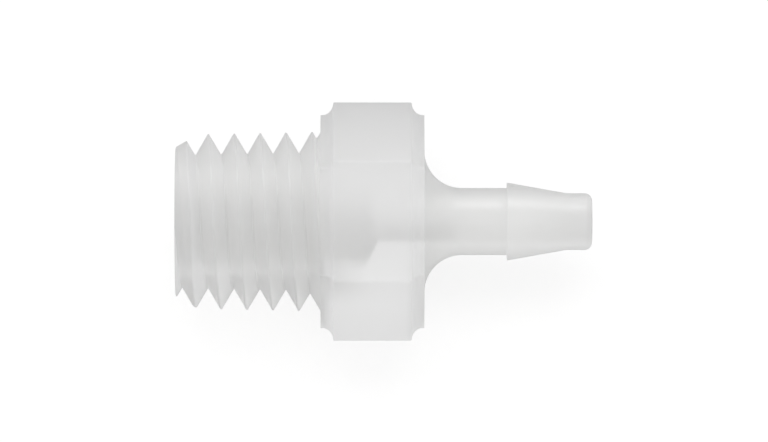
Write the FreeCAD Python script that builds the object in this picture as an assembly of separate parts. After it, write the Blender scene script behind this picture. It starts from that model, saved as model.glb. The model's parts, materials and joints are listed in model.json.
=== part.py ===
import FreeCAD, Part
import math
import os

# Threaded hose nipple, moulded in one piece from natural polypropylene. A tapered male thread screws
# into a port, a wrench hexagon with coved ends drives it, and a single barb holds soft tubing. A
# stepped bore runs right through.
# Frame: the axis is X, with the thread towards -X and the barb towards +X. The origin is on the axis,
# in the face of the hexagon that the thread runs up to. Two flats of the hexagon are square to Z, and
# the nipple lies on the lower one. Sizes are in millimetres.

# Wrench hexagon
hex_across_flats = 6.35
hex_length = 3.18
hex_edge_radius = 0.06
cove_radius = 0.337
collar_land = 0.052

# Male thread, right-handed, with 32 turns to the inch. Its diameter is given at the hexagon, where the
# taper is widest.
thread_pitch = 0.79375
thread_length = 4.44
thread_major_diameter = 5.486
thread_half_taper_deg = 1.1
thread_flank_deg = 30.0
thread_crest_flat = 0.036
thread_root_flat = 0.036
lead_in_diameter = 4.556
lead_in_angle_deg = 30.0
# Distance from the hexagon back to the first crest on the +Y side, which sets where the thread starts
first_crest_setback = 0.263

# Neck and barb
neck_diameter = 2.052
neck_flare_radius = 1.145
neck_length = 2.525
barb_diameter = 2.382
barb_tip_diameter = 1.742
barb_taper_length = 1.813
barb_tip_length = 0.80
tip_edge_radius = 0.245

# Bore
port_bore_diameter = 2.33
port_bore_depth = 6.02
hose_bore_diameter = 1.0

# Thread form that follows from these
flank_slope = math.tan(math.radians(thread_flank_deg))
taper_rise = math.tan(math.radians(thread_half_taper_deg))
thread_depth = (thread_pitch - thread_crest_flat - thread_root_flat) / (2 * flank_slope)
major_radius = thread_major_diameter / 2

# The groove's cutter goes past the crests on its flanks, by less than would reach the next turn, and
# then straight out to its full height. The ring that ends the groove at the hexagon starts below the
# roots.
flank_overrun = thread_crest_flat / (3 * flank_slope)
cutter_height = 1.6 * thread_depth
run_out_height = 1.3 * thread_depth

# Places along the axis
x_port_end = -thread_length
x_barb_shoulder = hex_length + neck_length
x_barb_tip = x_barb_shoulder + barb_taper_length
x_hose_end = x_barb_tip + barb_tip_length

ORIGIN = FreeCAD.Vector(0, 0, 0)
X_AXIS = FreeCAD.Vector(1, 0, 0)
Y_AXIS = FreeCAD.Vector(0, 1, 0)
Z_AXIS = FreeCAD.Vector(0, 0, 1)
# A turn about this diagonal takes Z to X and X to Y.
DIAGONAL = FreeCAD.Vector(1, 1, 1)


def at(x, radius):
    """A point of a profile that is drawn above the axis and turned about it."""
    return FreeCAD.Vector(x, radius, 0)


def lines(*points):
    """Straight edges through points, in order."""
    return [Part.LineSegment(a, b).toShape() for a, b in zip(points, points[1:])]


def quarter_round(start, centre, end):
    """A quarter-circle edge about centre."""
    middle = (start - centre + end - centre).normalize() * (start - centre).Length
    return Part.Arc(start, centre + middle, end).toShape()


def turned(edges):
    """The solid that a closed profile sweeps when it turns about the axis."""
    return Part.Face(Part.Wire(edges)).revolve(ORIGIN, X_AXIS, 360)


def coved_slab():
    """The space between two opposite flats, with a quarter-round cove along each end of both."""
    flat = hex_across_flats / 2
    collar = flat - cove_radius
    x_flat = collar_land + cove_radius
    x_middle = hex_length / 2
    land_end = FreeCAD.Vector(collar_land, 0, collar)
    flat_end = FreeCAD.Vector(x_flat, 0, flat)
    corner = lines(ORIGIN, FreeCAD.Vector(0, 0, collar), land_end)
    corner.append(quarter_round(land_end, FreeCAD.Vector(collar_land, 0, flat), flat_end))
    corner += lines(flat_end, FreeCAD.Vector(x_middle, 0, flat))
    upper = corner + [edge.mirror(FreeCAD.Vector(x_middle, 0, 0), X_AXIS) for edge in corner]
    whole = upper + [edge.mirror(ORIGIN, Z_AXIS) for edge in upper]
    outline = Part.Face(Part.Wire(Part.sortEdges(whole)[0]))
    width = 2 * hex_across_flats
    outline.translate(Y_AXIS * (-width / 2))
    return outline.extrude(Y_AXIS * width)


def hexagon():
    """Three coved slabs crossed, so that the coves meet in mitres, with the long edges softened."""
    body = coved_slab()
    for turn_deg in (60, 120):
        slab = coved_slab()
        slab.rotate(ORIGIN, X_AXIS, turn_deg)
        body = body.common(slab)
    body = body.removeSplitter()
    cove_ends = 2 * (collar_land + cove_radius)
    long_edges = [edge for edge in body.Edges if edge.BoundBox.XLength > 0.9 * (hex_length - cove_ends)]
    return body.makeFillet(hex_edge_radius, long_edges)


def thread_blank():
    """The thread's outside before the groove: a slight cone, chamfered where it enters the port."""
    lead_in_slope = math.tan(math.radians(lead_in_angle_deg))
    lead_in_rise = major_radius - taper_rise * thread_length - lead_in_diameter / 2
    x_lead_in = x_port_end + lead_in_rise / (lead_in_slope - taper_rise)
    start = at(x_port_end, 0)
    return turned(
        lines(
            start,
            at(x_port_end, lead_in_diameter / 2),
            at(x_lead_in, major_radius + taper_rise * x_lead_in),
            at(0, major_radius),
            at(0, 0),
            start,
        )
    )


def groove_outline(root):
    """The V between two crests, as it stands on the roots' cone, with the axis along Z."""
    half_root = thread_root_flat / 2
    shoulder = thread_depth + flank_overrun
    half_mouth = half_root + shoulder * flank_slope
    right = [(root, half_root), (root + shoulder, half_mouth), (root + cutter_height, half_mouth)]
    left = [(radius, -along) for radius, along in reversed(right)]
    points = [FreeCAD.Vector(radius, 0, along) for radius, along in right + left]
    return Part.Wire(lines(*points, points[0]))


def thread_groove():
    """The groove's cutter, swept along a helix on the roots' cone past both ends of the thread."""
    turns = math.ceil(thread_length / thread_pitch) + 3
    x_start = (1.5 - turns) * thread_pitch - first_crest_setback
    root = major_radius - thread_depth + taper_rise * x_start
    sweep = Part.BRepOffsetAPI.MakePipeShell(
        Part.makeLongHelix(thread_pitch, turns * thread_pitch, root, thread_half_taper_deg)
    )
    sweep.setBiNormalMode(Z_AXIS)
    sweep.add(groove_outline(root))
    sweep.build()
    sweep.makeSolid()
    groove = sweep.shape()
    groove.rotate(ORIGIN, DIAGONAL, 120)
    groove.translate(X_AXIS * x_start)
    return groove


def thread_run_out():
    """The solid ring at the hexagon, which rises at the flank's angle from below the roots."""
    x_foot = -run_out_height * flank_slope
    start = at(x_foot, 0)
    foot = at(x_foot, major_radius - run_out_height)
    return turned(lines(start, foot, at(0, major_radius), at(0, 0), start))


def thread():
    return thread_blank().cut(thread_groove()).fuse(thread_run_out())


def hose_stem():
    """The neck, which flares into the hexagon, and the barb with its rounded tip."""
    neck = neck_diameter / 2
    flare = neck + neck_flare_radius
    barb = barb_diameter / 2
    tip = barb_tip_diameter / 2
    tip_face = tip - tip_edge_radius
    x_neck = hex_length + neck_flare_radius
    x_round = x_hose_end - tip_edge_radius
    edges = lines(at(hex_length, 0), at(hex_length, flare))
    edges.append(quarter_round(at(hex_length, flare), at(x_neck, flare), at(x_neck, neck)))
    edges += lines(
        at(x_neck, neck),
        at(x_barb_shoulder, neck),
        at(x_barb_shoulder, barb),
        at(x_barb_tip, tip),
        at(x_round, tip),
    )
    edges.append(quarter_round(at(x_round, tip), at(x_round, tip_face), at(x_hose_end, tip_face)))
    edges += lines(at(x_hose_end, tip_face), at(x_hose_end, 0), at(hex_length, 0))
    return turned(edges)


def bore():
    """The wide bore from the port's end, and the narrow one on through the barb."""
    port_bore = Part.makeCylinder(port_bore_diameter / 2, port_bore_depth, at(x_port_end, 0), X_AXIS)
    whole_length = x_hose_end - x_port_end
    hose_bore = Part.makeCylinder(hose_bore_diameter / 2, whole_length, at(x_port_end, 0), X_AXIS)
    return port_bore.fuse(hose_bore)


def hose_nipple():
    return hexagon().fuse([thread(), hose_stem()]).cut(bore()).removeSplitter()


os.makedirs("parts", exist_ok=True)
nipple = hose_nipple()
nipple.exportStep("parts/hose_nipple.step")
print("hose_nipple", len(nipple.Solids), "solid, valid", nipple.isValid(), "%.3f mm3" % nipple.Volume)
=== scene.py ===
import json
import math

import bpy
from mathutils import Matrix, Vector


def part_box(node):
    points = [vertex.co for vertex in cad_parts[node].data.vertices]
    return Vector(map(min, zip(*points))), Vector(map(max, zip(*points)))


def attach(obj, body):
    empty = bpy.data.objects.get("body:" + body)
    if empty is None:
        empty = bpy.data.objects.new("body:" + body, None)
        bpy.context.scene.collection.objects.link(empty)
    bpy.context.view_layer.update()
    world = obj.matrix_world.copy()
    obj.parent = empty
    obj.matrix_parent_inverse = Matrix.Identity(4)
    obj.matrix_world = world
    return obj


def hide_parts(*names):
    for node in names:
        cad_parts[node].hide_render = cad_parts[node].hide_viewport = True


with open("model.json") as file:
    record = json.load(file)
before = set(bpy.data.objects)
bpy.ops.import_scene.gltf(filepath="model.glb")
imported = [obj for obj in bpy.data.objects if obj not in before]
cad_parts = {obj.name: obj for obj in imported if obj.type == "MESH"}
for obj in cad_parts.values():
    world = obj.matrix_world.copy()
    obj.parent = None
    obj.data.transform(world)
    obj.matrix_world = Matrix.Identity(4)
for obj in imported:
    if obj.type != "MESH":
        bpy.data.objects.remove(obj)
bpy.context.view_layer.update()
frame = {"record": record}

# Sizes are in millimetres. Those that the frame gives are read from it, and the rest repeat the drawing.
MM = 0.001
low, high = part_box("hose_nipple")
mounts = {mount["name"]: mount for mount in frame["record"]["mounts"]}


def stated(mount, size):
    return mounts[mount]["dims"][size]


x_port_end = low.x / MM
x_hose_end = high.x / MM

# Wrench hexagon
half_flats = high.z / MM
hex_length = 2 * mounts["wrench_hexagon"]["pos_m"][0] / MM
cove_radius = 0.337
collar_land = 0.052
collar = half_flats - cove_radius

# Male thread
major_radius = stated("port_thread", "r_mm")
thread_pitch = 0.79375
thread_half_taper_deg = 1.1
thread_flank_deg = 30.0
thread_crest_flat = 0.036
thread_root_flat = 0.036
lead_in_radius = 2.278
lead_in_angle_deg = 30.0
first_crest_setback = 0.263

# Neck and barb
neck_radius = 1.026
flare_radius = 1.145
barb_radius = stated("hose_barb", "r_mm")
x_barb_shoulder = mounts["hose_barb"]["pos_m"][0] / MM
barb_taper_length = 1.813
tip_radius = stated("hose_tip", "r_mm")
tip_edge_radius = 0.245

# Bore
port_bore_radius = stated("port_bore", "r_mm")
port_bore_depth = stated("port_bore", "length_mm")
hose_bore_radius = stated("hose_bore", "r_mm")

# Softness that the mould leaves on the edges
crisp_edge = 0.016
soft_edge = 0.03
mouth_edge = 0.06
hexagon_edge = 0.12
edge_steps = 4

# Columns of the mesh on each side of the hexagon, an even number, and how many of them stand close
# together next to each corner
columns_per_side = 42
corner_columns = 3

# Points closer than this are one
weld_distance = 0.0001

# The photograph's frame: its size, the scale at the axis, and the pixel where the axis meets the face
# of the hexagon that the thread runs up to. The lens is a long one, so that the picture is nearly flat.
photo_width, photo_height = 768, 442
mm_per_pixel = 0.03063
shoulder_pixel = (320.55, 221.55)
lens_length, sensor_width, clip_distance = 500, 36, 10

# Milky plastic: how far light spreads in it, in millimetres. The further it spreads, the darker the
# plastic looks. Far is towards +Y, the top of the photograph, and near is towards -Y. A fade gives the
# place where it starts and the place where it is full.
thread_spread, hexagon_spread, stem_spread = 25.0, 24.0, 6.5
thread_fade, stem_fade = (0.3, -0.3), (2.6, 3.4)

# Towards the near side of the thread and the stem it spreads further, by up to this many times as much again
near_side_gain, near_side_fade = 2.6, (0.0, -1.8)

# The hexagon's near flats spread it less. The upper and lower flats spread it further by their far edges,
# and so does the stem by its far rim.
near_flat_drop, near_flat_fade = 10.0, (-1.85, -2.5)
far_edge_rise, far_edge_fade, far_edge_end = 11.0, (0.8, 1.75), (1.88, 1.8)
far_rim_rise, far_rim_fade = 13.0, (0.6, 1.0)

# The bore's shade: light spreads further over the bore too, most of all at its near wall, where the
# shade ends. In the thread most of it goes on past the wall. Fades across the bore are in multiples
# of the radius that it seems to have through the plastic.
bore_rise, shade_fade, wall_fade = 80.0, (0.7, -1.0), (-0.9, -1.2)
bore_blur, thread_blur, step_blur = 0.05, 0.45, 0.2
shade_past_wall, past_wall_fade = 0.8, (1.3, -0.3)
narrow_shade, hose_end_fade, port_end_fade_length = 0.5, (4.2, 3.2), 0.2

# The share of light that a wall lets straight through: the skin's, then the bore's from end to end
thread_skin_passes, skin_passes = 0.85, 0.7
thread_bore_passes, hexagon_bore_passes, narrow_bore_passes, stem_bore_passes = 0.85, 0.4, 0.35, 0.8

# Colour, and how far each part goes from the clean colour to the darker one, which is warmer too.
# Going darker on the near side of the thread and the stem, and over the bore, is painted shade. On the
# thread and the stem as a whole it is partly painted shade and partly the plastic's warmer tint. The
# clouds are the plastic's own uneven tone.
clean_plastic, shaded_and_cloudy_plastic = (0.93, 0.93, 0.93, 1), (0.81, 0.81, 0.77, 1)
near_thread_painted_shade, near_stem_painted_shade, thread_and_stem_shade_and_tint = 1.0, 0.6, 0.4
bore_painted_shade, cloud_dulling = 0.3, 0.1

# The skin's satin: broad clouds and a fine grain in its roughness, and the grain in its height as well
skin_roughness, skin_ior = 0.24, 1.49
clouds_per_metre, cloud_detail, cloud_roughness = 500.0, 3.0, 0.1
grains_per_metre, grain_detail, grain_roughness = 9000.0, 4.0, 0.06
grain_strength, grain_height = 0.1, 0.002

# Light and floor, in metres and watts. A lamp's tilt is its angle from overhead: towards -Y for the near
# lamp, and towards +Y for the others.
surround_strength = 0.68
floor_reach, floor_grey, floor_roughness, floor_glow = 0.6, 0.55, 0.9, 0.48
softbox_width, softbox_height, sheen_height = 0.3, 0.15, 0.12
softbox_distance = 0.35
far_tilt_deg, far_watts = 30, 0.43
sheen_tilt_deg, sheen_watts = 60, 0.35
near_tilt_deg, near_watts = 75, 0.36


def arc(x, r, radius, start_deg, end_deg, steps=edge_steps):
    """Points of an arc about (x, r), both ends included. 0 degrees is towards the barb, 90 outwards."""
    turns = [math.radians(start_deg + (end_deg - start_deg) * k / steps) for k in range(steps + 1)]
    return [(x + radius * math.cos(turn), r + radius * math.sin(turn)) for turn in turns]


def on_to(points, end, steps=1):
    """Lengthens a list of points by a straight line to end."""
    x, r = points[-1]
    points += [(x + (end[0] - x) * k / steps, r + (end[1] - r) * k / steps) for k in range(1, steps + 1)]


def rows(points, flats=0.0, thread=0.0, climb=0.0):
    """Rows of the outline. Their height is from the axis, from the flats' rule or from the thread's."""
    return [(x, r, flats, thread, climb) for x, r in points]


def port_face_rows():
    """The face at the thread's end, from the bore's mouth out to the thread."""
    mouth = port_bore_radius + mouth_edge
    face = [(x_port_end, mouth), (x_port_end, 0.5 * (mouth + lead_in_radius))]
    edge = [(x_port_end, -3 * soft_edge)] + arc(x_port_end + soft_edge, -soft_edge, soft_edge, 180, 90)
    return rows(face) + rows(edge, thread=1.0)


def thread_rows(flank_steps=10):
    """Rows that climb with the thread by one pitch in a turn, so that crests and roots stay sharp."""
    crest_edge = 0.5 * thread_crest_flat
    root_edge = 0.5 * (thread_pitch - thread_root_flat)
    flank = [crest_edge + (root_edge - crest_edge) * k / flank_steps for k in range(flank_steps + 1)]
    one_turn = [-place for place in reversed(flank)] + flank
    first_turn = math.floor((x_port_end + first_crest_setback) / thread_pitch) - 1
    crests = [turn * thread_pitch - first_crest_setback for turn in range(first_turn, 2)]
    return rows([(crest + place, 0) for crest in crests for place in one_turn], thread=1.0, climb=1.0)


def hexagon_rows():
    """The hexagon from the thread's face to the neck's, with a cove and a narrow collar at each end."""
    half = [(0, collar - 2 * crisp_edge)]
    half += arc(crisp_edge, collar - crisp_edge, crisp_edge, 180, 90)
    cove_end_deg = 360 - math.degrees(math.asin(soft_edge / cove_radius))
    half += arc(collar_land, half_flats, cove_radius, 270, cove_end_deg, steps=10)
    x_flat = collar_land + cove_radius + soft_edge
    half += arc(x_flat, half_flats - soft_edge, soft_edge, 180, 90)
    on_to(half, (x_flat + soft_edge, half_flats))
    on_to(half, (0.5 * hex_length, half_flats), steps=4)
    other_half = [(hex_length - x, r) for x, r in reversed(half[:-1])]
    return rows(half + other_half, flats=1.0)


def stem_rows():
    """The flare, the neck, the barb with its square shoulder, and the rounded tip."""
    neck_start = hex_length + flare_radius
    barb_end = x_barb_shoulder + barb_taper_length
    tip_round = x_hose_end - tip_edge_radius
    taper_deg = math.degrees(math.atan((barb_radius - tip_radius) / barb_taper_length))
    points = arc(neck_start, neck_radius + flare_radius, flare_radius, 180, 270, steps=16)
    on_to(points, (x_barb_shoulder - crisp_edge, neck_radius), steps=4)
    on_to(points, (x_barb_shoulder, neck_radius + crisp_edge))
    on_to(points, (x_barb_shoulder, barb_radius - 2 * crisp_edge))
    points += arc(x_barb_shoulder + crisp_edge, barb_radius - crisp_edge, crisp_edge, 180, 90 - taper_deg)
    on_to(points, (barb_end, tip_radius), steps=6)
    on_to(points, (tip_round, tip_radius), steps=3)
    points += arc(tip_round, tip_radius - tip_edge_radius, tip_edge_radius, 90, 0, steps=10)[1:]
    return rows(points)


def bore_rows():
    """The bore from the barb's mouth to the thread's, with the step between its two widths."""
    x_step = x_port_end + port_bore_depth
    narrow = hose_bore_radius + soft_edge
    points = arc(x_hose_end - soft_edge, narrow, soft_edge, 360, 270)
    on_to(points, (x_step + soft_edge, hose_bore_radius), steps=8)
    points += arc(x_step + soft_edge, narrow, soft_edge, 270, 180)[1:]
    on_to(points, (x_step, port_bore_radius - crisp_edge), steps=2)
    on_to(points, (x_step - crisp_edge, port_bore_radius))
    on_to(points, (x_port_end + mouth_edge, port_bore_radius), steps=8)
    points += arc(x_port_end + mouth_edge, port_bore_radius + mouth_edge, mouth_edge, 270, 180)[1:-1]
    return rows(points)


def outline_mesh():
    """The outline as one closed line of points, each with the rule that its row follows."""
    outline = port_face_rows() + thread_rows() + hexagon_rows() + stem_rows() + bore_rows()
    points = [(x * MM, r * MM, 0) for x, r, *_ in outline]
    edges = [(k, (k + 1) % len(points)) for k in range(len(points))]
    mesh = bpy.data.meshes.new("nipple_outline")
    mesh.from_pydata(points, edges, [])
    for column, name in enumerate(("flats", "thread", "climb"), 2):
        rule = mesh.attributes.new(name, "FLOAT", "POINT")
        rule.data.foreach_set("value", [row[column] for row in outline])
    return mesh


class Term:
    """A node's output that a rule can be written with, as in (length - lap) / 2."""

    def __init__(self, socket):
        self.socket = socket
        self.tree = socket.id_data

    def __add__(self, other):
        return maths(self.tree, "ADD", self, other)

    def __sub__(self, other):
        return maths(self.tree, "SUBTRACT", self, other)

    def __rsub__(self, other):
        return maths(self.tree, "SUBTRACT", other, self)

    def __mul__(self, other):
        return maths(self.tree, "MULTIPLY", self, other)

    def __truediv__(self, other):
        return maths(self.tree, "DIVIDE", self, other)

    def __rtruediv__(self, other):
        return maths(self.tree, "DIVIDE", other, self)

    def __abs__(self):
        return maths(self.tree, "ABSOLUTE", self)


def feed(value, socket):
    """Links a node's output to a socket, or sets the socket to a plain value."""
    if isinstance(value, Term):
        value = value.socket
    if isinstance(value, bpy.types.NodeSocket):
        socket.id_data.links.new(value, socket)
    else:
        socket.default_value = value


def node(tree, kind, inputs=(), output=0, **settings):
    """Adds a node and gives one of its outputs."""
    made = tree.nodes.new(kind)
    for name, value in settings.items():
        setattr(made, name, value)
    for name, value in dict(inputs).items():
        feed(value, made.inputs[name])
    return Term(made.outputs[output])


def maths(tree, operation, *values):
    return node(tree, "ShaderNodeMath", enumerate(values), operation=operation)


def larger(a, b):
    return maths(a.tree, "MAXIMUM", a, b)


def smaller(a, b):
    return maths(a.tree, "MINIMUM", a, b)


def column_angle(tree, column, size):
    """The angle of a column. They are close together on a corner's rounding and even between corners."""
    side = maths(tree, "FLOOR", column / size["Columns Per Side"])
    place = column - side * size["Columns Per Side"]
    steps = smaller(place, size["Columns Per Side"] - place)
    bend = size["Corner Half Angle"]
    half_side = math.pi / 6
    even_step = (half_side - bend * 2) / (size["Columns Per Side"] / 2 - corner_columns)
    even = bend * 2 + even_step * (steps - corner_columns)
    from_corner = larger(larger(bend * 0.5 * steps, bend * (steps - 1)), even)
    past_middle = maths(tree, "SIGN", place - size["Columns Per Side"] / 2)
    return (side + 0.5) * (2 * half_side) + past_middle * (half_side - from_corner)


def hexagon_rule(tree, angle, size):
    """Distance from the axis, as a multiple of the distance to a flat, with the corners rounded."""
    half_side = math.pi / 6
    from_corner = abs(maths(tree, "WRAP", angle, half_side, -half_side))
    on_flat = 1 / maths(tree, "COSINE", half_side - from_corner)
    centre = (1 - size["Corner Softness"]) / math.cos(half_side)
    across = centre * maths(tree, "SINE", from_corner)
    reach = maths(tree, "SQRT", size["Corner Softness"] * size["Corner Softness"] - across * across)
    on_corner = centre * maths(tree, "COSINE", from_corner) + reach
    past_corner = maths(tree, "GREATER_THAN", from_corner, size["Corner Half Angle"])
    return on_corner + past_corner * (on_flat - on_corner)


def thread_rule(tree, x, angle, size):
    """Distance from the axis to the thread: crests and roots on a helix, lead-in and run-out."""
    turns = (x + size["First Crest Setback"]) / size["Pitch"] - angle / math.tau
    from_crest = abs(turns - maths(tree, "ROUND", turns)) * size["Pitch"]
    depth = (size["Pitch"] - size["Crest Flat"] - size["Root Flat"]) / (size["Flank Slope"] * 2)
    drop = larger((from_crest - size["Crest Flat"] / 2) / size["Flank Slope"], 0)
    thread = size["Major Radius"] + size["Taper Slope"] * x - smaller(drop, depth)
    lead_in = size["Lead-In Radius"] + (x - size["Port End"]) * size["Lead-In Slope"]
    run_out = size["Major Radius"] + x / size["Flank Slope"]
    return larger(smaller(thread, lead_in), run_out)


def turned_moulding_tree(sizes):
    """Turns an outline about the X axis, with a hexagon's corners and a helical thread by rule."""
    tree = bpy.data.node_groups.new("turned moulding with hexagon and thread", "GeometryNodeTree")
    tree.interface.new_socket("Geometry", in_out="OUTPUT", socket_type="NodeSocketGeometry")
    tree.interface.new_socket("Outline", in_out="INPUT", socket_type="NodeSocketGeometry")
    for name in sizes:
        tree.interface.new_socket(name, in_out="INPUT", socket_type="NodeSocketFloat")
    tree.interface.new_socket("Plastic", in_out="INPUT", socket_type="NodeSocketMaterial")
    given = tree.nodes.new("NodeGroupInput")
    outline = given.outputs["Outline"]
    size = {name: Term(given.outputs[name]) for name in sizes}

    drawn = {"Geometry": outline}
    count = node(tree, "GeometryNodeAttributeDomainSize", drawn, "Point Count", component="MESH")
    columns = size["Columns Per Side"] * 6
    across = {"Vertices X": columns + 1, "Vertices Y": count + 1}
    grid = node(tree, "GeometryNodeMeshGrid", across, "Mesh")
    index = node(tree, "GeometryNodeInputIndex")
    column = maths(tree, "FLOOR", index / (count + 1))
    row = maths(tree, "MODULO", index - column * (count + 1), count)
    angle = column_angle(tree, column, size)

    def on_outline(value, kind="FLOAT"):
        sampled = {"Geometry": outline, "Value": value, "Index": row}
        return node(tree, "GeometryNodeSampleIndex", sampled, data_type=kind)

    def flag(name):
        return on_outline(node(tree, "GeometryNodeInputNamedAttribute", {"Name": name}, data_type="FLOAT"))

    place = on_outline(node(tree, "GeometryNodeInputPosition"), "FLOAT_VECTOR")
    x_row = node(tree, "ShaderNodeSeparateXYZ", {"Vector": place}, "X")
    height = node(tree, "ShaderNodeSeparateXYZ", {"Vector": place}, "Y")
    climbed = x_row + size["Pitch"] * angle / math.tau
    held = smaller(larger(climbed, size["Port End"] + size["Port Edge"]), 0)
    x = x_row + flag("climb") * (held - x_row)
    flats = flag("flats") * (hexagon_rule(tree, angle, size) - 1) + 1
    radius = height * flats + flag("thread") * thread_rule(tree, x, angle, size)
    y = radius * maths(tree, "COSINE", angle)
    z = radius * maths(tree, "SINE", angle)
    position = node(tree, "ShaderNodeCombineXYZ", {"X": x, "Y": y, "Z": z})
    shaped = node(tree, "GeometryNodeSetPosition", {"Geometry": grid, "Position": position})
    closed = node(tree, "GeometryNodeMergeByDistance", {"Geometry": shaped, "Distance": size["Weld"]})
    smooth = node(tree, "GeometryNodeSetShadeSmooth", {"Geometry": closed})
    real = node(tree, "GeometryNodeRealizeInstances", {"Geometry": smooth})
    finished = node(tree, "GeometryNodeSetMaterial", {"Geometry": real, "Material": given.outputs["Plastic"]})
    feed(finished, tree.nodes.new("NodeGroupOutput").inputs["Geometry"])
    return tree


def made_by_rule(name, mesh, tree, inputs):
    """Runs a tree on a mesh with its inputs set, and gives the result as a plain mesh."""
    piece = bpy.data.objects.new(name, mesh)
    bpy.context.scene.collection.objects.link(piece)
    modifier = piece.modifiers.new("rule", "NODES")
    modifier.node_group = tree
    sockets = {item.name: item.identifier for item in tree.interface.items_tree if item.in_out == "INPUT"}
    for input_name, value in inputs.items():
        modifier[sockets[input_name]] = value
    evaluated = piece.evaluated_get(bpy.context.evaluated_depsgraph_get())
    result = bpy.data.meshes.new_from_object(evaluated)
    # The grid brings an empty material slot of its own
    result.materials.pop(index=0)
    piece.modifiers.remove(modifier)
    piece.data = result
    bpy.data.meshes.remove(mesh)
    result.name = name
    return piece


def hose_nipple(plastic):
    """The whole moulding as one closed mesh."""
    softness = hexagon_edge / half_flats
    half_side = math.pi / 6
    sizes = {
        "Columns Per Side": float(columns_per_side),
        "Corner Softness": softness,
        "Corner Half Angle": half_side - math.atan((1 - softness) * math.tan(half_side)),
        "Pitch": thread_pitch * MM,
        "First Crest Setback": first_crest_setback * MM,
        "Crest Flat": thread_crest_flat * MM,
        "Root Flat": thread_root_flat * MM,
        "Flank Slope": math.tan(math.radians(thread_flank_deg)),
        "Taper Slope": math.tan(math.radians(thread_half_taper_deg)),
        "Major Radius": major_radius * MM,
        "Port End": x_port_end * MM,
        "Port Edge": soft_edge * MM,
        "Lead-In Radius": lead_in_radius * MM,
        "Lead-In Slope": math.tan(math.radians(lead_in_angle_deg)),
        "Weld": weld_distance * MM,
    }
    tree = turned_moulding_tree(sizes)
    piece = made_by_rule("moulded_nipple", outline_mesh(), tree, {**sizes, "Plastic": plastic})
    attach(piece, "root")
    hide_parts("hose_nipple")
    return piece


def fade(value, places):
    """0 before a fade's start and 1 after its end, with an even slope between. It may run either way."""
    start, end = places
    return smaller(larger((value - start) / (end - start), 0), 1)


def blend(share, there, elsewhere):
    """One value where the share is 1, and the other where it is 0."""
    return share * (there - elsewhere) + elsewhere


def bore_shade(along, across, in_thread):
    """How far the bore shades the plastic over it, from 0 to 1. Its narrow part shades it less."""
    x_step = x_port_end + port_bore_depth
    in_wide = fade(along, (x_step + step_blur, x_step - step_blur))
    seen_radius = blend(in_wide, port_bore_radius, hose_bore_radius) + bore_blur + in_thread * thread_blur
    height = across / seen_radius
    past_wall = fade(height, wall_fade) * (1 - fade(along, past_wall_fade) * shade_past_wall)
    shade = fade(height, shade_fade)
    shade = shade * shade * (1 - past_wall)
    shade = shade * blend(in_wide, 1, narrow_shade) * fade(along, hose_end_fade)
    return shade * fade(along, (x_port_end, x_port_end + port_end_fade_length))


def clear_share(along, across, up, in_thread, in_stem):
    """The share of light that goes straight through. It counts for bounced light and for lamps."""
    tree = along.tree
    x_step = x_port_end + port_bore_depth
    in_wide = maths(tree, "LESS_THAN", along, x_step + mouth_edge)
    limit = blend(in_wide, port_bore_radius, hose_bore_radius) + mouth_edge
    in_bore = maths(tree, "LESS_THAN", across * across + up * up, limit * limit)
    wide = blend(in_thread, thread_bore_passes, hexagon_bore_passes)
    narrow = blend(in_stem, stem_bore_passes, narrow_bore_passes)
    skin = blend(in_thread, thread_skin_passes, skin_passes)
    bounced = node(tree, "ShaderNodeLightPath", output="Is Diffuse Ray")
    from_lamp = node(tree, "ShaderNodeLightPath", output="Is Shadow Ray")
    return larger(bounced, from_lamp) * blend(in_bore, blend(in_wide, wide, narrow), skin)


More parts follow.
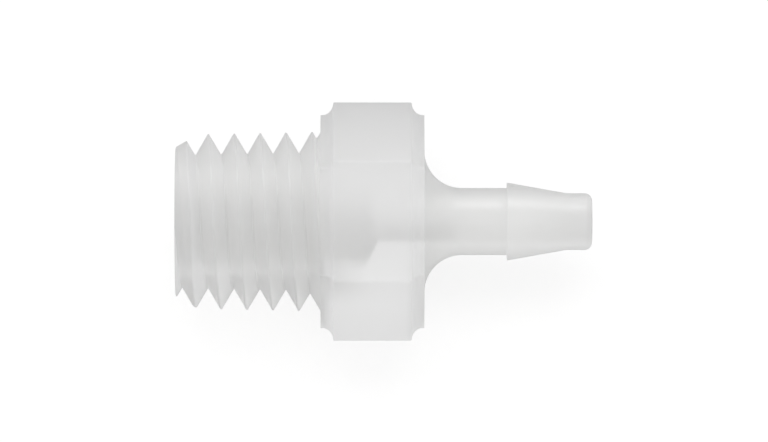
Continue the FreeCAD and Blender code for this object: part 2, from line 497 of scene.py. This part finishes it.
def milky_polypropylene():
    """Undyed moulded plastic: milky and translucent, with a faintly uneven satin skin, and painted shade in
    its colour.
    """
    material = bpy.data.materials.new("milky_polypropylene")
    material.use_nodes = True
    tree = material.node_tree
    skin = tree.nodes["Principled BSDF"]
    where = node(tree, "ShaderNodeTexCoord", output="Object")
    along, across, up = (node(tree, "ShaderNodeSeparateXYZ", {"Vector": where}, axis) / MM for axis in "XYZ")
    blotches = {"Vector": where, "Scale": clouds_per_metre, "Detail": cloud_detail}
    clouds = node(tree, "ShaderNodeTexNoise", blotches, "Fac")
    specks = {"Vector": where, "Scale": grains_per_metre, "Detail": grain_detail}
    grain = node(tree, "ShaderNodeTexNoise", specks, "Fac")
    in_thread = fade(along, thread_fade)
    in_stem = fade(along, stem_fade)
    in_hexagon = 1 - in_thread - in_stem
    near_side = fade(across, near_side_fade)
    near_flat = fade(across, near_flat_fade) * in_hexagon
    shade = bore_shade(along, across, in_thread) * (1 - near_flat)

    # Painted shade: the base colour goes darker on the near side of the thread and the stem, over the bore,
    # and a little on the whole thread and stem, which also take a warmer tint. The clouds are the plastic's
    # own uneven tone.
    painted_shade_and_clouds = (in_thread * near_thread_painted_shade + in_stem * near_stem_painted_shade) * near_side
    painted_shade_and_clouds = painted_shade_and_clouds + (in_thread + in_stem) * thread_and_stem_shade_and_tint
    painted_shade_and_clouds = painted_shade_and_clouds + shade * bore_painted_shade + clouds * cloud_dulling
    colour = node(tree, "ShaderNodeValToRGB", {"Fac": painted_shade_and_clouds}, "Color")
    clean, shaded_and_cloudy_end = colour.socket.node.color_ramp.elements
    clean.color, shaded_and_cloudy_end.color = clean_plastic, shaded_and_cloudy_plastic
    feed(colour, skin.inputs["Base Color"])
    feed(clouds * cloud_roughness + grain * grain_roughness + skin_roughness, skin.inputs["Roughness"])
    bumps = {"Strength": grain_strength, "Distance": grain_height * MM, "Height": grain}
    feed(node(tree, "ShaderNodeBump", bumps), skin.inputs["Normal"])

    far_edge = fade(across, far_edge_fade) * fade(across, far_edge_end) * in_hexagon
    far_rim = fade(across, far_rim_fade) * in_stem
    spread = blend(in_thread, thread_spread, blend(in_stem, stem_spread, hexagon_spread))
    spread = spread * ((in_thread + in_stem) * near_side * near_side_gain + 1)
    spread = spread + far_edge * far_edge_rise + far_rim * far_rim_rise - near_flat * near_flat_drop
    feed((spread + shade * bore_rise) * MM, skin.inputs["Subsurface Scale"])
    skin.inputs["Subsurface Weight"].default_value = 1.0
    skin.inputs["Subsurface Radius"].default_value = (1.0, 1.0, 1.0)
    skin.inputs["IOR"].default_value = skin_ior

    share = clear_share(along, across, up, in_thread, in_stem)
    clear = node(tree, "ShaderNodeBsdfTransparent")
    milky = node(tree, "ShaderNodeMixShader", {0: share, 1: skin.outputs["BSDF"], 2: clear})
    feed(milky, tree.nodes["Material Output"].inputs["Surface"])
    return material


def studio_floor():
    """A pale sheet under the nipple. The camera sees it white wherever no shadow falls."""
    mesh = bpy.data.meshes.new("floor")
    reach = floor_reach
    corners = [(-reach, -reach), (reach, -reach), (reach, reach), (-reach, reach)]
    mesh.from_pydata([(x, y, low.z) for x, y in corners], [], [(0, 1, 2, 3)])
    floor = bpy.data.objects.new("floor", mesh)
    bpy.context.scene.collection.objects.link(floor)
    material = bpy.data.materials.new("white_card")
    material.use_nodes = True
    tree = material.node_tree
    card = tree.nodes["Principled BSDF"]
    card.inputs["Base Color"].default_value = (floor_grey, floor_grey, floor_grey, 1)
    card.inputs["Roughness"].default_value = floor_roughness
    seen = node(tree, "ShaderNodeLightPath", output="Is Camera Ray")
    card.inputs["Emission Color"].default_value = (1, 1, 1, 1)
    feed(seen * floor_glow, card.inputs["Emission Strength"])
    mesh.materials.append(material)
    return floor


def softbox(name, tilt_deg, height, watts):
    """A wide soft lamp, aimed at the nipple and out of the camera's sight."""
    lamp = bpy.data.lights.new(name, "AREA")
    lamp.shape = "RECTANGLE"
    lamp.size = softbox_width
    lamp.size_y = height
    lamp.energy = watts
    box = bpy.data.objects.new(name, lamp)
    bpy.context.scene.collection.objects.link(box)
    tilt = math.radians(tilt_deg)
    away = Vector((0, math.sin(tilt), math.cos(tilt)))
    box.location = away * softbox_distance
    box.rotation_euler = away.to_track_quat("Z", "Y").to_euler()
    box.visible_camera = False
    return box


def studio_light():
    """An even white surround and three soft lamps, one of which shows in the gloss alone."""
    world = bpy.data.worlds.new("studio")
    bpy.context.scene.world = world
    world.use_nodes = True
    tree = world.node_tree
    seen = node(tree, "ShaderNodeLightPath", output="Is Camera Ray")
    feed(larger(seen, surround_strength), tree.nodes["Background"].inputs["Strength"])
    tree.nodes["Background"].inputs["Color"].default_value = (1, 1, 1, 1)
    softbox("far", far_tilt_deg, softbox_height, far_watts).visible_glossy = False
    softbox("sheen", sheen_tilt_deg, sheen_height, sheen_watts).visible_diffuse = False
    softbox("near", -near_tilt_deg, softbox_height, near_watts).visible_glossy = False


def camera():
    """Straight above the nipple, through a long lens, with the barb to the right."""
    lens = bpy.data.cameras.new("camera")
    lens.lens = lens_length
    lens.sensor_width = sensor_width
    lens.clip_start = clip_distance * MM
    view = bpy.data.objects.new("camera", lens)
    bpy.context.scene.collection.objects.link(view)
    across = photo_width * mm_per_pixel * MM
    x = (photo_width / 2 - shoulder_pixel[0]) * mm_per_pixel * MM
    y = (shoulder_pixel[1] - photo_height / 2) * mm_per_pixel * MM
    view.location = (x, y, across * lens_length / sensor_width)
    bpy.context.scene.camera = view


hose_nipple(milky_polypropylene())
studio_floor()
studio_light()
camera()
bpy.context.scene.view_settings.view_transform = "Standard"
